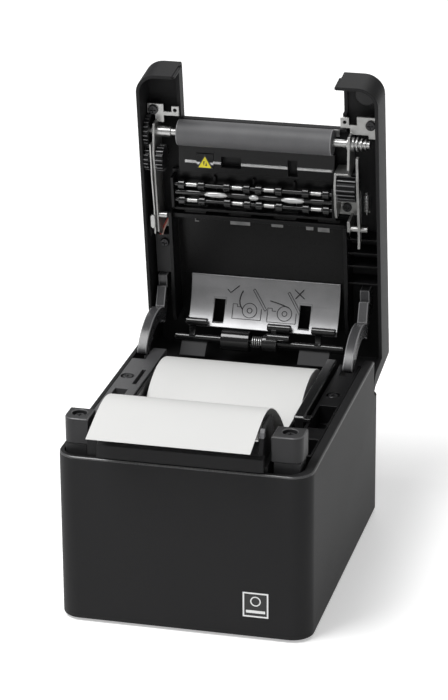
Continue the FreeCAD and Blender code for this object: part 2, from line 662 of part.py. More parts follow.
def guide_rollers(y):
    shaft = rod_x(-48.8, 37.4, y, ROLLER_Z, 1.2)
    collars = []
    for start in SPOOLS:
        collars.append(rod_x(start, start + 3.4, y, ROLLER_Z, 2.6))
        collars.append(rod_x(start + SPOOL_L - 3.4, start + SPOOL_L, y, ROLLER_Z, 2.6))
    return fuse([shaft] + collars)


def paper_deflector():
    nose = rod_x(-47.2, 35.8, -13, 97.6, 1.5)
    stem = box(-47.2, 35.8, -13.6, -12.4, 97.6, 99.4)
    legs = [box(x, x + 2, -13.6, -12.4, 99.2, 101.5) for x in (-46, -3, 32)]
    return fuse([nose, stem] + legs)


def guard_bar():
    body = profile_x([(-39.8, 100.6), (-39.8, 98.4), (-31, 97), (-25, 97.6), (-25, 103.6), (-36, 103.6)],
                     -44.6, 37.4)
    slots = [box(-22, -11.5, -34.5, -28.5, 96, 101), box(13, 18, -35, -26, 96, 101)]
    pad = box(-34.8, -26.0, -35.8, -28, 96.4, 98)
    ridge = profile_x([(-31.9, 97.4), (-31.6, 96.7), (-31.0, 96.5), (-30.4, 96.7), (-30.1, 97.4)], -41, 36)
    top = profile_x([(-36, 90), (-36, 97.34), (-28, 96.07), (-28, 90)], -36, -25)
    return cut(fuse([body, ridge, pad.cut(top)]), slots)


def caution_mark():
    """Small warning triangle plate on the guard bar, with no lettering."""
    slope = (98.4 - 97) / (-39.8 + 31)

    def corner(x, y):
        return point(x, y, 96.3 + slope * (y + 31))

    loop = [corner(-34.6, -28.2), corner(-26.2, -28.2), corner(-30.4, -35.6)]
    face = Part.Face(Part.makePolygon(loop + loop[:1]))
    return face.extrude(point(0, 0, 0.2))


def fixed_blade():
    return box(NOTCH_L + 0.5, 39, -51.2, -47.5, 103.75, 104.35)


def guide_plate():
    """Curved plate that holds the paper down onto the roll's top."""
    plate = sector_x(-42, 38, 32, 66, 37, 38.2, 39, 82)
    slots = [box(x - 2.9, x + 2.9, 49.2, 59.4, 80, 108) for x in (-26.2, 19.9)]
    return cut(plate, slots)


def rear_guide_bar():
    """Rod for the lever, with a drum, three small bars and two panels on it."""
    rod = rod_x(-48.5, 42.2, LEVER_Y, LEVER_Z, LEVER_ROD_R)
    drum = rod_x(-1, 7, LEVER_Y, LEVER_Z, 4.6)
    pieces = [rod, drum]
    for x0, x1 in ((-42.5, -31), (1.6, 13.6), (25, 37.6)):
        pieces.append(rod_x(x0, x1, 62.8, 86.6, 2.0))
        pieces.append(box(x0 + 2, x0 + 5, 62.8, LEVER_Y, 86.2, 87.8))
    for x0, x1 in ((-45, -31), (18.5, 35)):
        panel = [(LEVER_Y + 0.5, 88.6), (LEVER_Y + 1.3, 89.4), (75, 80.6), (74.2, 80)]
        pieces.append(profile_x(panel, x0, x1))
    return fuse(pieces)


def damper_lever():
    """Sprung drum with a tongue that rests against the roll."""
    barrel = tube_x(-23, -7.8, LEVER_Y, LEVER_Z, LEVER_R, LEVER_ROD_R + RUN)
    tongue = profile_x([(64.6, 91.6), (63.0, 91.0), (61.2, 87.2), (62.2, 86.0)], -22.4, -8.4)
    return cut(fuse([barrel, tongue]), [rod_x(-30, 0, LEVER_Y, LEVER_Z, LEVER_ROD_R + RUN)])


def stay_arm(x0, x1):
    """Curved arm on the cover that slides down into the case."""
    blade = sector_x(x0, x1, HINGE_Y, HINGE_Z, STAY_IN, STAY_OUT, 148, 231)
    flare = sector_x(x0, x1, HINGE_Y, HINGE_Z, STAY_IN, 41, 136, 149)
    root = box(x0, x1, 36, 52, 96, CEILING - 0.1)
    tip = [e for e in blade.Edges if e.BoundBox.XLength > 3 and e.BoundBox.ZMax < 60]
    return fuse([blade.makeFillet(2.0, tip), flare, root])


def latch(x0, x1):
    """Long lever with a hook at its front, hung on a stud."""
    arm = profile_x([(-43.3, 88.0), (-43.3, 90.8), (-40.5, 90.0), (-26, 90.0), (-22, 94.5), (-2, 95.4),
                     (2.5, 93.5), (8, 90.5), (8, 88.6), (2, 89.2), (-6, 89.4), (-24, 87.9)], x0, x1)
    return cut(arm, [rod_x(x0 - 1, x1 + 1, LATCH_PIVOT_Y, LATCH_PIVOT_Z, 1.5 + RUN)])


def cover_springs():
    """The two latch springs and the lever's torsion spring."""
    left = tube_x_along_y(-58.5, -19.5, -7.5, 98.4, 1.2)
    right = tube_x_along_y(53.6, -19.5, -7.5, 98.4, 1.6)
    lever = tube_x(-7.4, -1.4, LEVER_Y, LEVER_Z, 3.2, 2.1)
    return group([left, right, lever])


def tube_x_along_y(x, y0, y1, z, radius):
    return rod_y(y0, y1, x, z, radius).cut(rod_y(y0 - 1, y1 + 1, x, z, radius - 0.5))


def switch_box():
    lid = box(-59.6, -50.8, 13, 35.6, 98.4, 99.6)
    walls = [box(-59.6, -50.8, y, y + 1.2, 99.4, 105.4) for y in (13, 34.4)]
    return cut(fuse([lid] + walls), [rod_z(95, 102, -54.6, 17.5, 1.4)])


def switch_leads():
    """Two short leads from the box to the bracket, one over the other."""
    return group(rod_y(4, 13, LEAD_X, z, LEAD_R) for z in (99.2, 100.4))


def cover_screws():
    return group([screw_under(*COVER_BOSSES[0], 98.2), screw_under(*COVER_BOSSES[1], 98.2),
                  screw_under(42.6, -9, 101.8, 2.4, 3), screw_under(-54.6, 17.5, 98.4, 2.4, 4)])


def release_button():
    return fuse([box(-62.3, -60.4, 0.4, 10.6, 93.4, 100.6), box(-60.4, -59.8, -0.6, 11.6, 92, 102)])


def feed_button():
    return fuse([rod_z(105.6, 107.9, FEED_X, FEED_Y, 4.5), rod_z(104.8, 105.4, FEED_X, FEED_Y, 5.6),
                 rod_z(105.3, 105.7, FEED_X, FEED_Y, 4.5)])


def status_lamps():
    return group(rod_z(106.4, 107.95, x, LAMP_Y, 1.3) for x in LAMP_XS)


def save(name, shape):
    if not shape.isValid():
        print("not valid:", name)
    count = len(shape.Solids)
    print(name, "solids", count, "volume", round(shape.Volume))
    shape.exportStep("parts/" + name + ".step")


BASE = {
    "lower_case": lower_case(),
    "base_plate": base_plate(),
    "rubber_feet": rubber_feet(),
    "paper_bucket": paper_bucket(),
    "bucket_rail": bucket_rail(),
    "left_deck": left_deck(),
    "right_deck": right_deck(),
    "left_post": post(*LEFT_POST, LEFT_POST[0]),
    "right_post": post(*RIGHT_POST, RIGHT_POST[1]),
    "deck_screws": deck_screws(),
    "front_guide": front_guide(),
    "thermal_head": thermal_head(),
    "head_heatsink": head_heatsink(),
    "cutter_blade": cutter_blade(),
    "cutter_cover": cutter_cover(),
    "cutter_motor": cutter_motor(),
    "feed_motor": feed_motor(),
    "drive_gear": drive_gear(),
    "main_board": main_board(),
    "power_switch": power_switch(),
    "switch_frame": switch_frame(),
    "hinge_brackets": hinge_brackets(),
    "front_mark": front_mark(),
    "paper_roll": paper_roll(),
    "roll_core": roll_core(),
    "paper_web": paper_web(),
    "power_inlet": port(*PORTS[0]),
    "signal_ports": group([port(*PORTS[1]), port(*PORTS[2])]),
}

COVER = {
    "top_cover": top_cover(),
    "inner_cover": inner_cover(),
    "hinge_pins": hinge_pins(),
    "left_bracket": left_bracket(),
    "right_bracket": right_bracket(),
    "platen_bushings": platen_bushings(),
    "platen_roller": platen_roller(),
    "platen_shaft": platen_shaft(),
    "platen_gear": platen_gear(),
    "idler_gear": idler_gear(),
    "wide_gear": wide_gear(),
    "roller_frame": roller_frame(),
    "front_guide_rollers": guide_rollers(ROLLER_YS[0]),
    "rear_guide_rollers": guide_rollers(ROLLER_YS[1]),
    "paper_deflector": paper_deflector(),
    "guard_bar": guard_bar(),
    "caution_mark": caution_mark(),
    "fixed_blade": fixed_blade(),
    "guide_plate": guide_plate(),
    "rear_guide_bar": rear_guide_bar(),
    "damper_lever": damper_lever(),
    "left_stay_arm": stay_arm(-58.8, -53.8),
    "right_stay_arm": stay_arm(49.4, 54.6),
    "left_latch": latch(-57.1, -56.4),
    "right_latch": latch(50.4, 51.6),
    "cover_springs": cover_springs(),
    "switch_box": switch_box(),
    "switch_leads": switch_leads(),
    "cover_screws": cover_screws(),
    "release_button": release_button(),
    "feed_button": feed_button(),
    "status_lamps": status_lamps(),
}

os.makedirs("parts", exist_ok=True)
for node, solid in BASE.items():
    save(node, solid)
for node, solid in COVER.items():
    save(node, opened(solid))
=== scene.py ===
import json
import math

import bpy
from mathutils import Matrix, Vector

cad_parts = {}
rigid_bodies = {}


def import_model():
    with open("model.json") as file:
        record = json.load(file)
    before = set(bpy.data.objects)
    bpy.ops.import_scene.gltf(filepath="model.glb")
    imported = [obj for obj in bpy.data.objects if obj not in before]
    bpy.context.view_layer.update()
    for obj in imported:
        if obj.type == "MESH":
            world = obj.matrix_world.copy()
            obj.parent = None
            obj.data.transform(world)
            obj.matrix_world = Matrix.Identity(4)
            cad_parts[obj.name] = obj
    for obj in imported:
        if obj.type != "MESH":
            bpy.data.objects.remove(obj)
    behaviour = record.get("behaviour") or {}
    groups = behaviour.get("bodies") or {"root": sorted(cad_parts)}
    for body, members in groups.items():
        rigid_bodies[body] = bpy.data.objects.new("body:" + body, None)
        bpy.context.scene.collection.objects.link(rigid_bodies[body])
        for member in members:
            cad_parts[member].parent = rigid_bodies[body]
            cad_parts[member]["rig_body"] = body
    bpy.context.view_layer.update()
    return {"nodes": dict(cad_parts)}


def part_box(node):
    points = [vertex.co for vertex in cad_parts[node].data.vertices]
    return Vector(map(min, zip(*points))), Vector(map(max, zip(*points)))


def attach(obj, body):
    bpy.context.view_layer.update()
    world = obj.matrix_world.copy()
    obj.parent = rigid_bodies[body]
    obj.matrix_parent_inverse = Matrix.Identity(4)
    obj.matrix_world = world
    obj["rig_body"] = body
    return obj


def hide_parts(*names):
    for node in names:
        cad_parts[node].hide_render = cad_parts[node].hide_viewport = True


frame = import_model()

# The camera stands in front of the printer and a little to its right, looking down into the
# open cover through a long lens.
bpy.ops.object.camera_add(
    location=(0.3374, -1.3307, 0.6594),
    rotation=[math.radians(turn) for turn in (68.347, 0.377, 14.055)],
)
camera = bpy.context.object
camera.data.lens = 154.0
camera.data.sensor_width = 36.0
bpy.context.scene.camera = camera


# A pale matt floor, a soft white room and three large soft boxes: one high on the left, one low
# in front, and one overhead at the back that brightens the floor there.
class Shade:
    """One socket of a material; arithmetic on it adds Math nodes."""

    def __init__(self, socket):
        self.socket = socket

    def node(self, kind, sockets, settings=None, output=0):
        tree = self.socket.id_data
        made = tree.nodes.new("ShaderNode" + kind)
        for key, value in (settings or {}).items():
            if key == "stops":
                ramp = made.color_ramp.elements
                while len(ramp) < len(value):
                    ramp.new(1.0)
                for stop, (place, grey) in zip(ramp, value):
                    stop.position = place
                    stop.color = (grey, grey, grey, 1)
            else:
                setattr(made, key, value)
        for key, value in sockets.items():
            if isinstance(value, Shade):
                tree.links.new(value.socket, made.inputs[key])
            else:
                made.inputs[key].default_value = value
        return Shade(made.outputs[output])

    def math(self, operation, first, second):
        return self.node("Math", {0: first, 1: second}, {"operation": operation})

    def __add__(self, other):
        return self.math("ADD", self, other)

    def __radd__(self, other):
        return self.math("ADD", other, self)

    def __sub__(self, other):
        return self.math("SUBTRACT", self, other)

    def __rsub__(self, other):
        return self.math("SUBTRACT", other, self)

    def __mul__(self, other):
        return self.math("MULTIPLY", self, other)

    def __rmul__(self, other):
        return self.math("MULTIPLY", other, self)

    def __gt__(self, other):
        return self.math("GREATER_THAN", self, other)


def noise(place, size, detail=2.0, roughness=0.5):
    """Even noise whose spots are about `size` metres across."""
    return place.node("TexNoise", {"Vector": place, "Scale": 1 / size, "Detail": detail,
                                   "Roughness": roughness})


def blend(factor, low, high):
    """Colour that goes from low to high with the factor."""
    return factor.node("Mix", {0: factor, 6: (*low, 1), 7: (*high, 1)}, {"data_type": "RGBA"}, 2)


def relief(height, depth):
    """Normal that follows the height, whose full swing is `depth` metres."""
    return height.node("Bump", {"Height": height, "Distance": depth, "Strength": 1.0})


def finish(name, recipe):
    """Material whose Principled sockets are what the recipe makes from the object's own place."""
    material = bpy.data.materials.new(name)
    material.use_nodes = True
    tree = material.node_tree
    surface = tree.nodes["Principled BSDF"]
    place = Shade(tree.nodes.new("ShaderNodeTexCoord").outputs["Object"])
    for socket, value in recipe(place).items():
        if isinstance(value, Shade):
            tree.links.new(value.socket, surface.inputs[socket])
        else:
            surface.inputs[socket].default_value = value
    return material


def floor_paint(place):
    cloud = noise(place, 0.4)
    return {"Base Color": blend(cloud, (0.9, 0.9, 0.9), (0.93, 0.93, 0.93)), "Roughness": 0.9,
            "Specular IOR Level": 0.1, "Emission Color": (1, 1, 1, 1), "Emission Strength": 0.4}


bpy.ops.mesh.primitive_plane_add(size=30)
floor = bpy.context.object
floor.name = "floor"
floor.data.materials.append(finish("floor_paint", floor_paint))

bpy.context.scene.world = bpy.data.worlds.new("room")
bpy.context.scene.world.use_nodes = True
room = bpy.context.scene.world.node_tree.nodes["Background"]
room.inputs["Color"].default_value = (1, 1, 1, 1)
room.inputs["Strength"].default_value = 0.22
bpy.context.scene.view_settings.view_transform = "Standard"


def soft_box(place, aim, size, power):
    bpy.ops.object.light_add(type="AREA", location=place)
    light = bpy.context.object
    light.rotation_euler = (Vector(aim) - Vector(place)).to_track_quat("-Z", "Y").to_euler()
    light.data.size = size
    light.data.energy = power


soft_box((-0.6, -0.5, 1.5), (0, 0, 0.1), 0.9, 25)
soft_box((0.1, -1.9, 0.9), (0, 0, 0.15), 0.7, 3)
soft_box((-0.1, 2.0, 1.5), (0, 1.9, 0), 1.4, 16)


# The case is one deep tub moulded in charcoal plastic with a fine spark-eroded grain. Its edges
# are broken by the mould, and the rim carries the cover's shut line.
def grained(colour, roughness, depth=0.00006, shine=0.22):
    """Moulded plastic with fine even grain, a little cloudy."""
    def recipe(place):
        grain = noise(place, 0.0004, 3.0, 0.65)
        cloud = noise(place, 0.03)
        tone = grain * 0.75 + cloud * 0.25
        lighter = [c * 1.45 for c in colour]
        return {
            "Base Color": blend(tone, colour, lighter),
            "Roughness": roughness + (grain - 0.5) * 0.2,
            "Specular IOR Level": shine,
            "Normal": relief(grain, depth),
        }
    return recipe


def clear():
    if bpy.context.object and bpy.context.object.mode != "OBJECT":
        bpy.ops.object.mode_set(mode="OBJECT")
    bpy.ops.object.select_all(action="DESELECT")


def pick(piece):
    clear()
    piece.select_set(True)
    bpy.context.view_layer.objects.active = piece


def broken_edges(piece, width, angle=32, segments=2):
    """Rounds every sharp edge by the same small width and shades the faces smooth."""
    pick(piece)
    bpy.ops.object.shade_smooth_by_angle(angle=math.radians(angle))
    if width:
        bevel = piece.modifiers.new("edges", "BEVEL")
        bevel.width = width
        bevel.segments = segments
        bevel.limit_method = "ANGLE"
        bevel.angle_limit = math.radians(angle)
        bevel.use_clamp_overlap = False
        bevel.harden_normals = True
        bpy.ops.object.modifier_apply(modifier=bevel.name)


def wear(piece, node, material):
    """The piece takes a CAD part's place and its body."""
    piece.data.materials.clear()
    piece.data.materials.append(material)
    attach(piece, frame["nodes"][node]["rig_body"])
    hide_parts(node)


def made(node, edge, material):
    """A part with its CAD shape, its faces made whole and its edges broken."""
    piece = bpy.data.objects.new(node + "_made", frame["nodes"][node].data.copy())
    bpy.context.collection.objects.link(piece)
    pick(piece)
    bpy.ops.mesh.customdata_custom_splitnormals_clear()
    bpy.ops.object.mode_set(mode="EDIT")
    bpy.ops.mesh.select_all(action="SELECT")
    bpy.ops.mesh.remove_doubles(threshold=0.000003)
    bpy.ops.mesh.dissolve_limited(angle_limit=math.radians(0.5))
    bpy.ops.object.mode_set(mode="OBJECT")
    broken_edges(piece, edge)
    wear(piece, node, material)
    return piece


case_black = finish("case_black", grained((0.0145, 0.0145, 0.015), 0.5, shine=0.09))
tub = made("lower_case", 0.0003, case_black)
# The rounded band along the rim is painted paler, a painted highlight on the case's top edge.
tub.data.materials.append(finish("rim_painted_highlight", grained((0.05, 0.05, 0.051), 0.28, 0.00001, 0.7)))
rim_low = 0.0855
rim_high = 0.0872
for face in tub.data.polygons:
    if rim_low < face.center.z < rim_high and 0.2 < face.normal.z < 0.9:
        face.material_index = 1

# The base plate closes the tub from below. It is a flat moulding in a smoother, blacker plastic
# than the case, the same that lines the cover.
liner_black = finish("liner_black", grained((0.005, 0.005, 0.0053), 0.3, 0.00002))
made("base_plate", 0.0002, liner_black)


# Four round feet stand under the base plate. They are moulded in soft black rubber and pressed
# into the plate.
def foot_compound(place):
    speck = noise(place, 0.0006, 4.0)
    return {"Base Color": blend(speck, (0.012, 0.012, 0.012), (0.022, 0.022, 0.022)),
            "Roughness": 0.75 + speck * 0.15, "Normal": relief(speck, 0.00008)}


foot_rubber = finish("foot_rubber", foot_compound)
made("rubber_feet", 0.0004, foot_rubber)

# The badge by the front corner is a black foil square with a printed white border. Its mark is a
# plain ring over a bar.
mm = 0.001


def block(name, x0, x1, y0, y1, z0, z1):
    """Box between two corners given in millimetres."""
    clear()
    centre = ((x0 + x1) / 2 * mm, (y0 + y1) / 2 * mm, (z0 + z1) / 2 * mm)
    extent = ((x1 - x0) * mm, (y1 - y0) * mm, (z1 - z0) * mm)
    bpy.ops.mesh.primitive_cube_add(size=1, location=centre, scale=extent)
    bpy.ops.object.transform_apply(location=True, rotation=True, scale=True)
    bpy.context.object.name = name
    return bpy.context.object


def joined(name, pieces):
    """One piece from several."""
    clear()
    for piece in pieces:
        piece.select_set(True)
    bpy.context.view_layer.objects.active = pieces[0]
    bpy.ops.object.join()
    pieces[0].name = name
    return pieces[0]


def added(piece, body, material):
    """A piece that the CAD has no part of its own for."""
    piece.data.materials.clear()
    piece.data.materials.append(material)
    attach(piece, body)
    return piece


def frame_of(name, x0, x1, z0, z1, front, back, width):
    """Square border standing on the front wall, from an inset plate whose middle is taken out."""
    piece = block(name, x0, x1, front, back, z0, z1)
    pick(piece)
    bpy.ops.object.mode_set(mode="EDIT")
    bpy.ops.mesh.select_all(action="DESELECT")
    bpy.ops.object.mode_set(mode="OBJECT")
    for face in piece.data.polygons:
        face.select = face.normal.y < -0.9
    bpy.ops.object.mode_set(mode="EDIT")
    bpy.ops.mesh.select_mode(type="FACE")
    bpy.ops.mesh.inset(thickness=width * mm)
    bpy.ops.mesh.extrude_region_move(TRANSFORM_OT_translate={"value": (0, (back - front) * mm * 0.9, 0)})
    bpy.ops.object.mode_set(mode="OBJECT")
    return piece


def print_black(place):
    speck = noise(place, 0.001)
    return {"Base Color": blend(speck, (0.006, 0.006, 0.006), (0.01, 0.01, 0.01)), "Roughness": 0.4}


def print_white(place):
    worn = noise(place, 0.0008, 3.0)
    return {"Base Color": blend(worn, (0.66, 0.66, 0.66), (0.85, 0.85, 0.85)), "Roughness": 0.5}


mark_black = finish("mark_black", print_black)
mark_white = finish("mark_white", print_white)
low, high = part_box("front_mark")
left, right, base, top = low.x / mm + 2.6, high.x / mm + 2.4, low.z / mm, high.z / mm
front, back = low.y / mm, high.y / mm
foil = block("front_mark_foil", left, right, front + 0.1, back, base, top)
wear(foil, "front_mark", mark_black)
border_width = 0.75
border = frame_of("front_mark_border", left, right, base, top, front, front + 0.12, border_width)
added(border, "case", mark_white)
ring_y = (front + 0.06) * mm
ring_flatness = 0.18
bpy.ops.mesh.primitive_torus_add(location=((left + right) / 2 * mm, ring_y, (base + 8.4) * mm),
                                 rotation=(math.pi / 2, 0, 0), major_radius=2.3 * mm, minor_radius=0.3 * mm,
                                 major_segments=40, minor_segments=8)
ring = bpy.context.object
bpy.ops.object.transform_apply(location=True, rotation=True, scale=True)
for point in ring.data.vertices:
    point.co.y = ring_y + (point.co.y - ring_y) * ring_flatness
bar = block("front_mark_bar", left + 1.6, right - 1.6, front, front + 0.1, base + 2.2, base + 3.6)
added(joined("front_mark_ring", [ring, bar]), "case", mark_white)

# The bucket under the roll and the rail beside it are moulded in black plastic and drop into the
# case from above. The rail is the glossier of the two.
made("paper_bucket", 0.0003, liner_black)
made("bucket_rail", 0.0004, finish("rail_gloss", grained((0.009, 0.009, 0.0093), 0.2, 0.00002, 0.6)))

# The decks close the gaps beside the bucket and are screwed down into the case. Both are smooth
# mouldings, and the left one is greyer.
deck_grey = finish("deck_grey", grained((0.05, 0.05, 0.052), 0.35, shine=0.5))
made("left_deck", 0.0003, deck_grey)
made("right_deck", 0.0003, liner_black)

# Two posts stand beside the paper guide. They are moulded in charcoal plastic, their sloping top edges
# are painted pale as a painted highlight, and each is held by a screw sunk into its top.
post_black = finish("post_black", grained((0.022, 0.022, 0.023), 0.42, 0.00008))
post_edge_highlight = finish("post_edge_highlight", grained((0.07, 0.07, 0.072), 0.3, 0.00002, 0.6))
for node in ("left_post", "right_post"):
    post = made(node, 0.00045, post_black)
    post.data.materials.append(post_edge_highlight)
    for face in post.data.polygons:
        if 0.25 < face.normal.z < 0.96 and face.center.z > 0.1:
            face.material_index = 1


# Four cross-head screws of blackened steel hold the posts and the decks. They turn into bosses
# of the case and are sunk below the faces.
def blackened(place):
    speck = noise(place, 0.0003, 3.0)
    return {"Base Color": blend(speck, (0.02, 0.02, 0.021), (0.06, 0.06, 0.062)), "Metallic": 0.8,
            "Roughness": 0.28 + speck * 0.15, "Normal": relief(speck, 0.00002)}


black_screw = finish("black_screw", blackened)
made("deck_screws", 0.00008, black_screw)

# The guide that the paper leaves over is the same charcoal plastic as the case. The corner at its
# right end is painted paler grey, a painted highlight where its top faces the light.
guide_block = made("front_guide", 0.0003, case_black)
end_highlight_grey = finish("end_highlight_grey", grained((0.1, 0.1, 0.105), 0.35))
guide_block.data.materials.append(end_highlight_grey)
highlight_corner = Vector((0.037, -0.0751, 0.1033))
for face in guide_block.data.polygons:
    spot = face.center
    if spot.x > highlight_corner.x and spot.y < highlight_corner.y and spot.z > highlight_corner.z:
        face.material_index = 1


# The cutter and the two motors sit inside the front of the case. Their housings are pressed from
# zinc-plated steel, and the blade is ground bright.
def plated(place):
    spangle = noise(place, 0.004, 3.0, 0.6)
    speck = noise(place, 0.0004, 3.0)
    return {"Base Color": blend(spangle, (0.27, 0.27, 0.265), (0.52, 0.52, 0.51)), "Metallic": 0.85,
            "Roughness": 0.2 + spangle * 0.18 + speck * 0.06, "Normal": relief(speck, 0.000015)}


zinc_steel = finish("zinc_steel", plated)


def turned(place):
    lines = place.node("Mapping", {"Vector": place, "Scale": (3000.0, 200.0, 200.0)})
    ring_marks = lines.node("TexNoise", {"Vector": lines, "Scale": 1.0, "Detail": 2.0})
    return {"Base Color": blend(ring_marks, (0.34, 0.34, 0.34), (0.56, 0.56, 0.55)), "Metallic": 0.9,
            "Roughness": 0.22 + ring_marks * 0.16, "Normal": relief(ring_marks, 0.000003)}


bright_steel = finish("bright_steel", turned)
for node in ("cutter_cover", "cutter_motor", "feed_motor"):
    made(node, 0.0002, zinc_steel)
made("cutter_blade", 0.00005, bright_steel)


# The thermal head is a strip of glazed ceramic with a row of heating dots. It is fixed to the bar
# that carries its heat away.
def ceramic(place):
    speck = noise(place, 0.001, 2.0)
    return {"Base Color": blend(speck, (0.3, 0.28, 0.25), (0.4, 0.38, 0.34)), "Roughness": 0.25}


head_ceramic = finish("head_ceramic", ceramic)
made("thermal_head", 0.0001, head_ceramic)


# The finned bar behind the head is extruded aluminium, cut to length. The die leaves fine lines
# along it.
def extruded(place):
    lines = place.node("Mapping", {"Vector": place, "Scale": (50.0, 3000.0, 3000.0)})
    draw = lines.node("TexNoise", {"Vector": lines, "Scale": 1.0, "Detail": 2.0})
    return {"Base Color": blend(draw, (0.5, 0.5, 0.51), (0.66, 0.66, 0.67)), "Metallic": 1.0,
            "Roughness": 0.3 + draw * 0.15, "Normal": relief(draw, 0.00001)}


aluminium = finish("aluminium", extruded)
made("head_heatsink", 0.0001, aluminium)


# The main board is glass fibre with copper tracks on it. They show as a paler pattern through the
# green solder mask.
def solder_mask(place):
    tracks = noise(place, 0.003, 0.0)
    return {"Base Color": blend(tracks > 0.52, (0.01, 0.09, 0.04), (0.02, 0.16, 0.07)), "Roughness": 0.35,
            "Coat Weight": 0.3}


board_green = finish("board_green", solder_mask)
made("main_board", 0.0001, board_green)

# The rocker switch in the left wall turns the power on. Rocker and frame are moulded in black
# plastic, and the frame is let into the wall.
made("power_switch", 0.0003, liner_black)
made("switch_frame", 0.0003, liner_black)

# The hinge brackets are two upright plates of zinc-plated steel behind the bucket. The cover's
# pins turn in their eyes.
made("hinge_brackets", 0.0003, zinc_steel)

# Sockets in the rear wall: one for power with three pins, two shielded ones with a row of
# contacts on a tongue.
made("power_inlet", 0.0003, liner_black)
port_shell = finish("port_shell", plated)
made("signal_ports", 0.0003, port_shell)
low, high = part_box("power_inlet")
middle = (low.x + high.x) / 2 / mm
pins = []
socket_back = 72.2
for step in (-3, 0, 3):
    pin = block("inlet_pin", middle + step - 0.5, middle + step + 0.5, socket_back, 79.5, 12.4, 14.2)
    broken_edges(pin, 0.0002)
    pins.append(pin)
added(joined("inlet_pins", pins), "case", bright_steel)
for name, centre in (("data", -5.0), ("drawer", 25.5)):
    tongue = block(name + "_tongue", centre - 3.2, centre + 3.2, socket_back, 79.0, 12.6, 14.0)
    broken_edges(tongue, 0.0002)
    added(tongue, "case", liner_black)
    contacts = [block("contact", centre + x - 0.35, centre + x + 0.35, 72.4, 78.6, 13.9, 14.15)
                for x in (-2.4, -0.8, 0.8, 2.4)]
    added(joined(name + "_contacts", contacts), "case", bright_steel)

# The roll is thermal paper wound on a card core. Its wound edges show the turns, and the loose
# end curls over the guide and droops in front.
roll_low, roll_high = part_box("paper_roll")
roll_y = (roll_low.y + roll_high.y) / 2
roll_z = (roll_low.z + roll_high.z) / 2
turns_per_metre = 2600.0


def thermal_paper(place):
    fibre = noise(place, 0.0006, 4.0, 0.6)
    cloud = noise(place, 0.02, 2.0)
    tone = fibre * 0.6 + cloud * 0.4
    return {"Base Color": blend(tone, (0.67, 0.67, 0.66), (0.72, 0.72, 0.71)), "Roughness": 0.55,
            "Normal": relief(fibre, 0.000006)}


def wound_paper(place):
    """Paper seen edge-on, each turn a ring round the roll's middle."""
    across = place.node("SeparateXYZ", {"Vector": place}, None, 1) - roll_y
    up = place.node("SeparateXYZ", {"Vector": place}, None, 2) - roll_z
    square = across * across + up * up
    turns = square.math("SQRT", square, 0.0) * turns_per_metre
    line = turns.math("FRACT", turns, 0.0)
    tone = line * 0.5 + noise(place, 0.0006, 4.0, 0.6) * 0.5
    return {"Base Color": blend(tone, (0.62, 0.62, 0.61), (0.8, 0.8, 0.795)), "Roughness": 0.6,
            "Normal": relief(line, 0.00002)}


paper_white = finish("paper_white", thermal_paper)
roll_edge = finish("roll_edge", wound_paper)
roll = made("paper_roll", 0.0002, paper_white)
roll.data.materials.append(roll_edge)
for face in roll.data.polygons:
    if abs(face.normal.x) > 0.9:
        face.material_index = 1
made("paper_web", 0, paper_white)


# The core is a short tube of brown card in the middle of the roll, wound from glued plies. The
# paper is wound straight on it.
def wound_card(place):
    ply = noise(place, 0.0008, 3.0)
    return {"Base Color": blend(ply, (0.32, 0.23, 0.14), (0.42, 0.31, 0.2)), "Roughness": 0.85,
            "Normal": relief(ply, 0.00005)}


core_card = finish("core_card", wound_card)
made("roll_core", 0.0001, core_card)

# The cover is one charcoal shell with a notch in its front for the paper. A black liner with ribs
# and a windowed bar lines it.
made("top_cover", 0.0003, case_black)
made("inner_cover", 0.0002, liner_black)

# The cover swings on two short pins of ground steel, which run through the eyes of the hinge
# brackets.
made("hinge_pins", 0.0001, bright_steel)


# Behind the windowed bar the liner's ceiling has low lands, mottled pale grey as painted highlights
# where the glossy liner catches the light. Four are plain oblongs and the leftmost is an angle of two runs.
def land_highlight(place):
    patch = noise(place, 0.005, 1.0)
    return {"Base Color": blend(patch, (0.08, 0.08, 0.08), (0.42, 0.42, 0.42)), "Roughness": 0.35,
            "Metallic": 0.3, "Normal": relief(patch, 0.00004)}


hinge = Vector((0, 76.24, 72.45)) * mm
opening = Matrix.Rotation(math.radians(-82.1), 4, "X")
swing = Matrix.Translation(hinge) @ opening @ Matrix.Translation(-hinge)


def lifted(piece):
    """Carries a piece drawn in the shut cover up to the open one."""
    piece.data.transform(swing)
    return piece


lands = []
land_face = 103.3
for x0, x1, y0, y1 in (
    (-20.2, -9.6, 4.2, 7.0), (1.8, 8.0, 4.2, 6.6), (20.2, 24.0, 4.2, 6.9),
    (26.4, 32.6, 4.2, 7.4), (-39.2, -38.6, 3.2, 6.8), (-38.6, -37.0, 6.2, 6.8),
):
    land = block("land", x0, x1, y0, y1, land_face, land_face + 0.4)
    broken_edges(land, 0.00015)
    lands.append(land)
added(lifted(joined("ceiling_lands", lands)), "cover", finish("land_highlight", land_highlight))


# Two steel brackets carry the mechanism. Each is pressed from zinc-plated sheet, folded, and held
# to the cover by a screw through its flange. Their narrow edge faces, and their ends below the flange, take
# the brighter zinc as a painted highlight.
def in_cover(piece):
    """Middle of each face as it would be in the shut cover, in millimetres."""
    return [(face, (swing.inverted() @ face.center) / mm) for face in piece.data.polygons]


def pressed(place):
    spangle = noise(place, 0.003, 3.0, 0.6)
    speck = noise(place, 0.0003, 3.0)
    return {"Base Color": blend(spangle, (0.22, 0.22, 0.215), (0.42, 0.42, 0.41)), "Metallic": 0.75,
            "Roughness": 0.24 + spangle * 0.2, "Normal": relief(speck, 0.00002)}


bracket_zinc = finish("bracket_zinc", pressed)
edge_area = 4e-6
flange_z = 99.6
for node in ("left_bracket", "right_bracket"):
    sheet = made(node, 0.00025, bracket_zinc)
    sheet.data.materials.append(zinc_steel)
    for face, spot in in_cover(sheet):
        if face.area < edge_area or (spot.z < flange_z and abs(spot.y) > 50):
            face.material_index = 1

# The platen's bushings are sintered metal rings, pressed into the brackets. The turning shaft and
# its clips keep them bright.
made("platen_bushings", 0.0003, bright_steel)


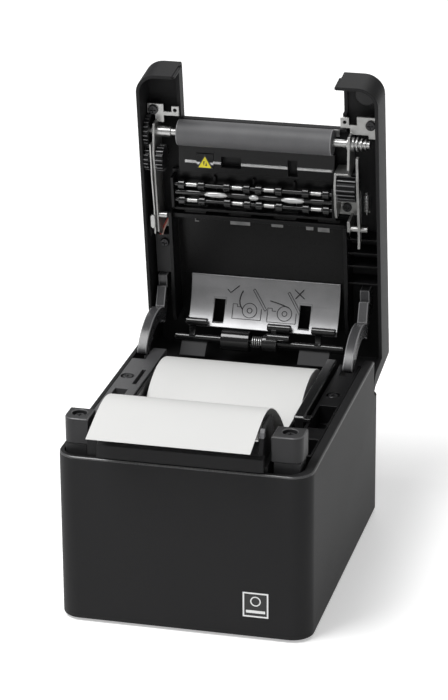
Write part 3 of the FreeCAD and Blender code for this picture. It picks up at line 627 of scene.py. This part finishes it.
# The platen is a ground rubber sleeve bonded to a turned steel shaft. The grinding leaves the
# rubber finely rough, and the chamfers at its ends are worn pale.
def ground_rubber(place):
    fine = noise(place, 0.0003, 3.0, 0.6)
    cloud = noise(place, 0.012, 2.0)
    return {"Base Color": blend(fine * 0.6 + cloud * 0.4, (0.045, 0.045, 0.047), (0.13, 0.13, 0.135)),
            "Roughness": 0.5 + fine * 0.12, "Normal": relief(fine, 0.00005)}


platen_rubber = finish("platen_rubber", ground_rubber)
sleeve = made("platen_roller", 0.0003, platen_rubber)
sleeve.data.materials.append(finish("worn_rim", grained((0.2, 0.2, 0.205), 0.4, 0.00001)))
for face in sleeve.data.polygons:
    if 0.2 < abs(face.normal.x) < 0.9:
        face.material_index = 1
made("platen_shaft", 0.00015, bright_steel)

# The gears are black nylon, moulded with square teeth. On three of them the tips of the teeth are
# painted paler as a painted highlight.
gear_black = finish("gear_black", grained((0.01, 0.01, 0.0105), 0.3, 0.00001))
tooth_tip_highlight = finish("tooth_tip_highlight", grained((0.09, 0.09, 0.093), 0.25, 0.00001, 0.5))
made("drive_gear", 0.00008, gear_black)
highlight_depth = 0.35
for node, y, z, tip in (("platen_gear", -47.3, 96.8, 8.4), ("idler_gear", -33.6, 93.9, 7.0),
                        ("wide_gear", -23.5, 95.4, 7.6)):
    gear = made(node, 0.0001, gear_black)
    gear.data.materials.append(tooth_tip_highlight)
    for face, spot in in_cover(gear):
        if math.hypot(spot.y - y, spot.z - z) > tip - highlight_depth and abs(face.normal.x) < 0.5:
            face.material_index = 1

# Two rows of spools press the paper flat. Each spool is a bright hub between two glossy black
# collars, and the shaft between the spools is painted black, as painted shade where the frame covers it.
gloss_black = finish("gloss_black", grained((0.006, 0.006, 0.0063), 0.12, 0.000005, 0.6))
spools = (-45.2, -21.1, -4.3, 20.4)
spool_length = 14.0
collar = 4.4
hub_radius = 1.5
spool_z = 97.5
for node, y in (("front_guide_rollers", -17.5), ("rear_guide_rollers", -8.5)):
    row = made(node, 0.0003, gloss_black)
    row.data.materials.append(bright_steel)
    pick(row)
    bpy.ops.object.mode_set(mode="EDIT")
    for edge in spools:
        for x in (edge + collar, edge + spool_length - collar):
            bpy.ops.mesh.select_all(action="SELECT")
            bpy.ops.mesh.bisect(plane_co=(x * mm, 0, 0), plane_no=(1, 0, 0))
    bpy.ops.object.mode_set(mode="OBJECT")
    for face, spot in in_cover(row):
        hub = any(x + collar < spot.x < x + spool_length - collar for x in spools)
        if hub and math.hypot(spot.y - y, spot.z - spool_z) < hub_radius:
            face.material_index = 1

# The spools run in a black frame with a glossy lip between the rows. Three noses on the lip, in the
# gaps between the spools, carry the paper across; their pale grey is a painted highlight of the glossy lip.
made("roller_frame", 0.0002, liner_black)
made("paper_deflector", 0.0003, gloss_black)


def highlight_paint(place):
    smear = noise(place, 0.002, 2.0)
    return {"Base Color": blend(smear, (0.42, 0.42, 0.42), (0.66, 0.66, 0.66)), "Metallic": 0.5,
            "Roughness": 0.16 + smear * 0.1}


painted_highlight = finish("painted_highlight", highlight_paint)
noses = []
nose_y = -13
nose_z = 96.5
for x0, x1 in ((-31.8, -19.0), (-8.0, -2.6), (8.8, 21.6)):
    clear()
    bpy.ops.mesh.primitive_uv_sphere_add(segments=32, ring_count=20, radius=mm,
                                         location=((x0 + x1) / 2 * mm, nose_y * mm, nose_z * mm),
                                         rotation=(0, math.pi / 2, 0))
    nose = bpy.context.object
    bpy.ops.object.transform_apply(location=True, rotation=True, scale=True)
    bpy.ops.object.mode_set(mode="EDIT")
    bpy.ops.mesh.select_all(action="SELECT")
    bpy.ops.transform.resize(value=((x1 - x0) / 2, 1.5, 1.15))
    bpy.ops.mesh.bisect(plane_co=(0, 0, 97.4 * mm), plane_no=(0, 0, 1), use_fill=True, clear_outer=True)
    bpy.ops.object.mode_set(mode="OBJECT")
    bpy.ops.object.shade_smooth_by_angle(angle=math.radians(50))
    noses.append(nose)
added(lifted(joined("deflector_noses", noses)), "cover", painted_highlight)

# The guard over the cutter is a black bar with a pressed ridge, painted pale grey along the ridge as
# a painted highlight. It is screwed between the brackets.
guard = made("guard_bar", 0.0002, liner_black)
guard.data.materials.append(painted_highlight)
guard_ridge_y = -31
for face, spot in in_cover(guard):
    if spot.z < 97.2 and abs(spot.y - guard_ridge_y) < 0.8:
        face.material_index = 1

# The triangle on the guard is a printed plate: yellow inside a thin black edge, with two plain
# black wedges in the middle.
made("caution_mark", 0, mark_black)


def print_yellow(place):
    speck = noise(place, 0.001)
    return {"Base Color": blend(speck, (0.72, 0.62, 0.01), (0.82, 0.72, 0.02)), "Roughness": 0.45}


caution_yellow = finish("caution_yellow", print_yellow)
guard_ridge_z = 96.3
guard_slope = (98.4 - 97) / (-39.8 + 31)
plate_thickness = 0.03


def triangle(name, centre, size, drop, flip=1):
    """Thin three-cornered plate lying on the guard's sloping face."""
    x, y = centre
    clear()
    bpy.ops.mesh.primitive_circle_add(vertices=3, radius=mm, fill_type="NGON")
    plate = bpy.context.object
    corners = ((-0.5, 0.5 * flip), (0.5, 0.5 * flip), (0, -0.5 * flip))
    for corner, (dx, dy) in zip(plate.data.vertices, corners):
        px = x + dx * size[0]
        py = y + dy * size[1]
        pz = guard_ridge_z + guard_slope * (py - guard_ridge_y) - drop
        corner.co = Vector((px, py, pz)) * mm
    pick(plate)
    bpy.ops.object.mode_set(mode="EDIT")
    bpy.ops.mesh.select_all(action="SELECT")
    bpy.ops.mesh.extrude_region_move(TRANSFORM_OT_translate={"value": (0, 0, plate_thickness * mm)})
    bpy.ops.mesh.select_all(action="SELECT")
    bpy.ops.mesh.normals_make_consistent(inside=False)
    bpy.ops.object.mode_set(mode="OBJECT")
    plate.name = name
    return plate


field = triangle("caution_field", (-30.4, -31.5), (6.7, 5.9), 0.04)
added(lifted(field), "cover", caution_yellow)
wedges = [
    triangle("wedge", (-30.9, -30.6), (0.9, 2.6), 0.08, -1),
    triangle("wedge", (-29.7, -30.4), (1.0, 1.8), 0.08),
]
added(lifted(joined("caution_wedges", wedges)), "cover", mark_black)

# The fixed blade is a strip of ground steel in the cover, behind the paper's notch. The moving
# blade cuts the paper against it.
made("fixed_blade", 0.00005, bright_steel)


# The curved plate over the roll is satin black plastic; its mottled grey metallic colour is a painted
# reflection of the bright room that makes it shine like graphite. Its slots have raised frames, and plain
# signs for right and wrong loading stand on it as thin ridges.
def plate_reflection(place):
    fine = noise(place, 0.0004, 3.0, 0.6)
    cloud = noise(place, 0.01, 2.0)
    tone = fine * 0.4 + cloud * 0.6
    return {"Base Color": blend(tone, (0.17, 0.17, 0.175), (0.32, 0.32, 0.325)), "Metallic": 0.6,
            "Roughness": 0.3 + fine * 0.08, "Normal": relief(fine, 0.000012)}


guide_reflection = finish("guide_reflection", plate_reflection)
guide = made("guide_plate", 0.0002, guide_reflection)
ridge_dark = finish("ridge_dark", grained((0.012, 0.012, 0.0125), 0.3, 0.000005))
ridge_light = finish("ridge_light", grained((0.16, 0.16, 0.165), 0.25, 0.000005, 0.6))


plate_y = 32
plate_z = 66
plate_radius = 37
plate_start = 82


def on_plate(u, v):
    """Point on the plate's hollow face, u across it and v down it from its front edge."""
    turn = math.radians(plate_start) - v / plate_radius
    reach = plate_radius - 0.1
    return Vector((u, plate_y + reach * math.cos(turn), plate_z + reach * math.sin(turn))) * mm


def ridge(name, points, width=0.22, closed=False):
    """Rounded ridge that follows straight runs between points on the plate."""
    curve = bpy.data.curves.new(name, "CURVE")
    curve.dimensions = "3D"
    curve.bevel_depth = width * mm
    curve.bevel_resolution = 1
    curve.use_fill_caps = True
    line = curve.splines.new("POLY")
    line.points.add(len(points) - 1)
    for knot, (u, v) in zip(line.points, points):
        knot.co = (*on_plate(u, v), 1)
    line.use_cyclic_u = closed
    piece = bpy.data.objects.new(name, curve)
    bpy.context.collection.objects.link(piece)
    pick(piece)
    bpy.ops.object.convert(target="MESH")
    return bpy.context.object


def round_of(u, v, radius):
    """Points of a circle on the plate."""
    turns = [math.radians(step) for step in range(0, 360, 15)]
    return [(u + radius * math.cos(turn), v + radius * math.sin(turn)) for turn in turns]


def bowed(start, middle, end):
    """Seven points of the smooth bow through three."""
    line = []
    for step in range(7):
        t = step / 6
        line.append(tuple((1 - t) * (1 - 2 * t) * a + 4 * t * (1 - t) * b + t * (2 * t - 1) * c
                          for a, b, c in zip(start, middle, end)))
    return line


fine_ridge = 0.18
signs = [
    ridge("tick", [(-22.4, 7.2), (-20.7, 8.9), (-16.1, 4.9)], 0.26),
    ridge("cross_a", [(13.6, 4.6), (19.0, 9.2)], 0.26),
    ridge("cross_b", [(18.6, 4.4), (14.2, 9.4)], 0.26),
]
for centre, tray, lid, loose in (
    ((-9.9, 17.6), (-19.0, -3.6, 14.6, 22.4), ((-8.6, 6.6), (-1.8, 17.2)),
     ((-14.0, 7.4), (-15.6, 12.8), (-13.8, 17.2))),
    ((8.9, 17.8), (-0.2, 15.2, 15.4, 22.8), ((10.0, 6.8), (16.6, 17.4)),
     ((0.8, 11.6), (6.6, 13.0), (11.2, 14.6))),
):
    left, right, high, low = tray
    signs.append(ridge("roll", round_of(*centre, 3.9), fine_ridge, True))
    signs.append(ridge("core", round_of(*centre, 1.3), fine_ridge, True))
    outline = [(centre[0] - 4.6, high + 1.4), (left + 2.4, high + 1.4), (left + 2.4, high), (left, high),
               (left, low), (right, low), (right, high + 1.8)]
    signs.append(ridge("tray", outline, fine_ridge))
    across = Vector(lid[1]) - Vector(lid[0])
    side = Vector((across.y, -across.x)).normalized() * 1.2
    flap = [lid[0], lid[1], tuple(Vector(lid[1]) + side), tuple(Vector(lid[0]) + side)]
    signs.append(ridge("lid", flap, fine_ridge, True))
    signs.append(ridge("loose", bowed(*loose), 0.3))
added(lifted(joined("guide_signs", signs)), "cover", ridge_dark)
frames = []
for u in (-26.2, 19.9):
    sides = [(u - 3.4, 15.4), (u - 3.4, 11.6), (u + 3.4, 11.6), (u + 3.4, 15.4)]
    frames.append(ridge("slot_frame", sides, 0.2))
frames.append(ridge("plate_lip", [(-41.6, 0.3), (37.6, 0.3)], 0.2))
added(lifted(joined("guide_frames", frames)), "cover", ridge_light)


# The rod behind the plate carries a drum, three bars and two panels, moulded together in glossy
# black. The bars ride on the paper, the outer two nearer the plate, and the panels are satin.
def rod(name, x0, x1, y, z, radius, sides=32):
    """Round bar along X, in millimetres."""
    clear()
    bpy.ops.mesh.primitive_cylinder_add(vertices=sides, radius=radius * mm, depth=(x1 - x0) * mm,
                                        location=((x0 + x1) / 2 * mm, y * mm, z * mm),
                                        rotation=(0, math.pi / 2, 0))
    bpy.ops.object.transform_apply(location=True, rotation=True, scale=True)
    bpy.context.object.name = name
    return bpy.context.object


bar_gloss = finish("bar_gloss", grained((0.008, 0.008, 0.0083), 0.16, 0.000008, 0.6))
bars = made("rear_guide_bar", 0.0004, bar_gloss)
panel_satin = finish("panel_satin", grained((0.02, 0.02, 0.021), 0.55, 0.00002, 0.2))
bars.data.materials.append(panel_satin)
for face, spot in in_cover(bars):
    if spot.y > 67.8 and spot.z > 79.5 and not -2 < spot.x < 8:
        face.material_index = 1
outer_bar_shift = Vector((0, -4.6, 2.2))
for corner in bars.data.vertices:
    spot = (swing.inverted() @ corner.co) / mm
    if spot.y < 65.0 and spot.z < 89.0 and not -20 < spot.x < 20:
        corner.co = swing @ ((spot + outer_bar_shift) * mm)
middle_bar = rod("middle_bar", 1.6, 13.6, 58.2, 88.8, 2.0)
pick(middle_bar)
bpy.ops.object.mode_set(mode="EDIT")
bpy.ops.mesh.select_all(action="DESELECT")
bpy.ops.object.mode_set(mode="OBJECT")
for face in middle_bar.data.polygons:
    face.select = abs(face.normal.x) > 0.9
bpy.ops.object.mode_set(mode="EDIT")
bpy.ops.mesh.select_mode(type="FACE")
bpy.ops.mesh.inset(thickness=0.5 * mm)
bpy.ops.mesh.extrude_region_move()
bpy.ops.transform.resize(value=(1.03, 1, 1))
bpy.ops.object.mode_set(mode="OBJECT")
broken_edges(middle_bar, 0.0003)
middle_stem = block("middle_stem", 3.6, 6.6, 58.4, 63.0, 86.6, 88.2)
broken_edges(middle_stem, 0.0003)
added(lifted(joined("middle_bar", [middle_bar, middle_stem])), "cover", gloss_black)

# The sprung lever is moulded in glossy black and turns on the same rod. Its tongue rests on the
# roll and keeps the paper taut.
made("damper_lever", 0.0004, gloss_black)

# The two stay arms are grey acetal, bent to the hinge's radius so that they slide down into the
# case. Their sloping edge faces are painted paler as a painted highlight.
stay_grey = finish("stay_grey", grained((0.045, 0.045, 0.047), 0.25, 0.00002, 0.5))
stay_edge_highlight = finish("stay_edge_highlight", grained((0.17, 0.17, 0.175), 0.2, 0.00001, 0.6))
for node in ("left_stay_arm", "right_stay_arm"):
    arm = made(node, 0.0006, stay_grey)
    arm.data.materials.append(stay_edge_highlight)
    for face in arm.data.polygons:
        if 0.3 < abs(face.normal.x) < 0.95:
            face.material_index = 1

# The latches are plated steel levers on studs, one beside each bracket, hooked at the front and
# pulled by a spring. The left one ends in a rounded thumb tab.
made("left_latch", 0.0001, zinc_steel)
made("right_latch", 0.0001, zinc_steel)
tab_x, tab_y, tab_z = -57.7, 3.4, 89.0
tab_stretch = 4.5
clear()
bpy.ops.mesh.primitive_cylinder_add(vertices=32, radius=1.5 * mm, depth=1.0 * mm,
                                    location=(tab_x * mm, tab_y * mm, tab_z * mm))
thumb_tab = bpy.context.object
bpy.ops.object.transform_apply(location=True, rotation=True, scale=True)
bpy.ops.object.mode_set(mode="EDIT")
bpy.ops.mesh.select_all(action="SELECT")
bpy.ops.transform.resize(value=(0.85, 1.1, 0.8))
bpy.ops.object.mode_set(mode="OBJECT")
for corner in thumb_tab.data.vertices:
    if corner.co.y < tab_y * mm:
        corner.co.y -= tab_stretch * mm
broken_edges(thumb_tab, 0.0003)
thumb_tab.name = "left_latch_tab"
added(lifted(thumb_tab), "left_latch", zinc_steel)


# The springs are wound from bright wire: one pulls each latch, and a short one in torsion turns
# the sprung lever.
def coil(name, start, length, mean, wire, turns, axis):
    """Close-wound helix from a start point along X or Y."""
    clear()
    bpy.ops.mesh.primitive_circle_add(vertices=8, radius=wire * mm, location=(mean * mm, 0, 0),
                                      rotation=(math.pi / 2, 0, 0))
    wound = bpy.context.object
    bpy.ops.object.transform_apply(location=True, rotation=True, scale=True)
    screw = wound.modifiers.new("turns", "SCREW")
    screw.axis = "Z"
    screw.angle = math.tau
    screw.screw_offset = length / turns * mm
    screw.iterations = turns
    screw.steps = 16
    screw.render_steps = 16
    bpy.ops.object.modifier_apply(modifier=screw.name)
    bpy.ops.object.mode_set(mode="EDIT")
    bpy.ops.mesh.select_all(action="SELECT")
    bpy.ops.mesh.remove_doubles(threshold=0.000001)
    bpy.ops.mesh.select_all(action="SELECT")
    bpy.ops.mesh.fill_holes(sides=0)
    bpy.ops.mesh.select_all(action="SELECT")
    bpy.ops.mesh.normals_make_consistent(inside=False)
    bpy.ops.object.mode_set(mode="OBJECT")
    bpy.ops.object.shade_smooth_by_angle(angle=math.radians(60))
    turn = Matrix.Rotation(math.pi / 2, 4, "Y") if axis == "X" else Matrix.Rotation(-math.pi / 2, 4, "X")
    wound.data.transform(Matrix.Translation(Vector(start) * mm) @ turn)
    wound.name = name
    return wound


def hook(name, centre, radius, wire):
    """Round end of a spring, where it hangs on its pin."""
    clear()
    bpy.ops.mesh.primitive_torus_add(location=Vector(centre) * mm, rotation=(0, math.pi / 2, 0),
                                     major_radius=radius * mm, minor_radius=wire * mm, major_segments=24,
                                     minor_segments=8)
    bpy.ops.object.transform_apply(location=True, rotation=True, scale=True)
    bpy.ops.object.shade_smooth()
    bpy.context.object.name = name
    return bpy.context.object


left_x = -58.5
right_x = 53.6
hook_y, eye_y = -18.9, -8.1
spring_z = 98.4
springs = [
    coil("left_spring", (left_x, -18.4, spring_z), 9.8, 0.95, 0.22, 12, "Y"),
    hook("left_hook", (left_x, hook_y, spring_z), 0.7, 0.2),
    hook("left_eye", (left_x, eye_y, spring_z), 0.7, 0.2),
    coil("right_spring", (right_x, -18.2, spring_z), 9.4, 1.3, 0.27, 11, "Y"),
    hook("right_hook", (right_x, hook_y, spring_z), 0.75, 0.22),
    hook("right_eye", (right_x, eye_y, spring_z), 0.75, 0.22),
    coil("lever_spring", (-7.2, 67.0, 87.5), 5.6, 2.7, 0.45, 5, "X"),
]
wear(lifted(joined("wound_springs", springs)), "cover_springs", bright_steel)

# The switch that senses the open cover sits under a screwed grey lid. Two thin leads, one red and
# one pale, run up from it to the bracket.
box_grey = finish("box_grey", grained((0.035, 0.035, 0.036), 0.4))
made("switch_box", 0.0004, box_grey)


def lead_sheath(place):
    speck = noise(place, 0.001)
    return {"Base Color": blend(speck, (0.45, 0.05, 0.035), (0.58, 0.09, 0.06)), "Roughness": 0.4}


def pale_sheath(place):
    speck = noise(place, 0.001)
    return {"Base Color": blend(speck, (0.6, 0.42, 0.36), (0.72, 0.52, 0.46)), "Roughness": 0.4}


def lead(name, points, radius):
    """Thin held lead along a smooth bend."""
    curve = bpy.data.curves.new(name, "CURVE")
    curve.dimensions = "3D"
    curve.bevel_depth = radius * mm
    curve.bevel_resolution = 3
    curve.use_fill_caps = True
    line = curve.splines.new("NURBS")
    line.points.add(len(points) - 1)
    for knot, spot in zip(line.points, points):
        knot.co = (*(Vector(spot) * mm), 1)
    line.order_u = 3
    line.use_endpoint_u = True
    piece = bpy.data.objects.new(name, curve)
    bpy.context.collection.objects.link(piece)
    pick(piece)
    bpy.ops.object.convert(target="MESH")
    bpy.ops.object.shade_smooth()
    return bpy.context.object


red_route = [(-56.9, 13.2, 98.6), (-55.9, 10.5, 97.8), (-54.2, 7.5, 97.8), (-52.6, 4.0, 99.8)]
red = lead("red_lead", red_route, 0.5)
wear(lifted(red), "switch_leads", finish("lead_red", lead_sheath))
pale_route = [(-55.8, 13.2, 98.6), (-54.9, 10.5, 97.7), (-53.3, 7.2, 97.7), (-51.8, 3.8, 99.8)]
pale = lead("pale_lead", pale_route, 0.45)
added(lifted(pale), "cover", finish("lead_pale", pale_sheath))

# Cross-head screws of blackened steel hold the brackets and the switch's lid to bosses in the
# cover.
made("cover_screws", 0.00008, black_screw)

# The release button in the left wall and the feed key by the lamps are greyer, smoother mouldings
# than the case. Both move in openings that clear them all round.
key_grey = finish("key_grey", grained((0.03, 0.03, 0.031), 0.35))
made("release_button", 0.0004, key_grey)
made("feed_button", 0.0004, key_grey)


# Three light pipes show the printer's state. They are clear plastic, pressed in from inside.
def lens(place):
    speck = noise(place, 0.001)
    return {"Base Color": blend(speck, (0.3, 0.5, 0.34), (0.38, 0.6, 0.42)), "Roughness": 0.15,
            "Coat Weight": 0.5}


made("status_lamps", 0.0002, finish("lamp_clear", lens))
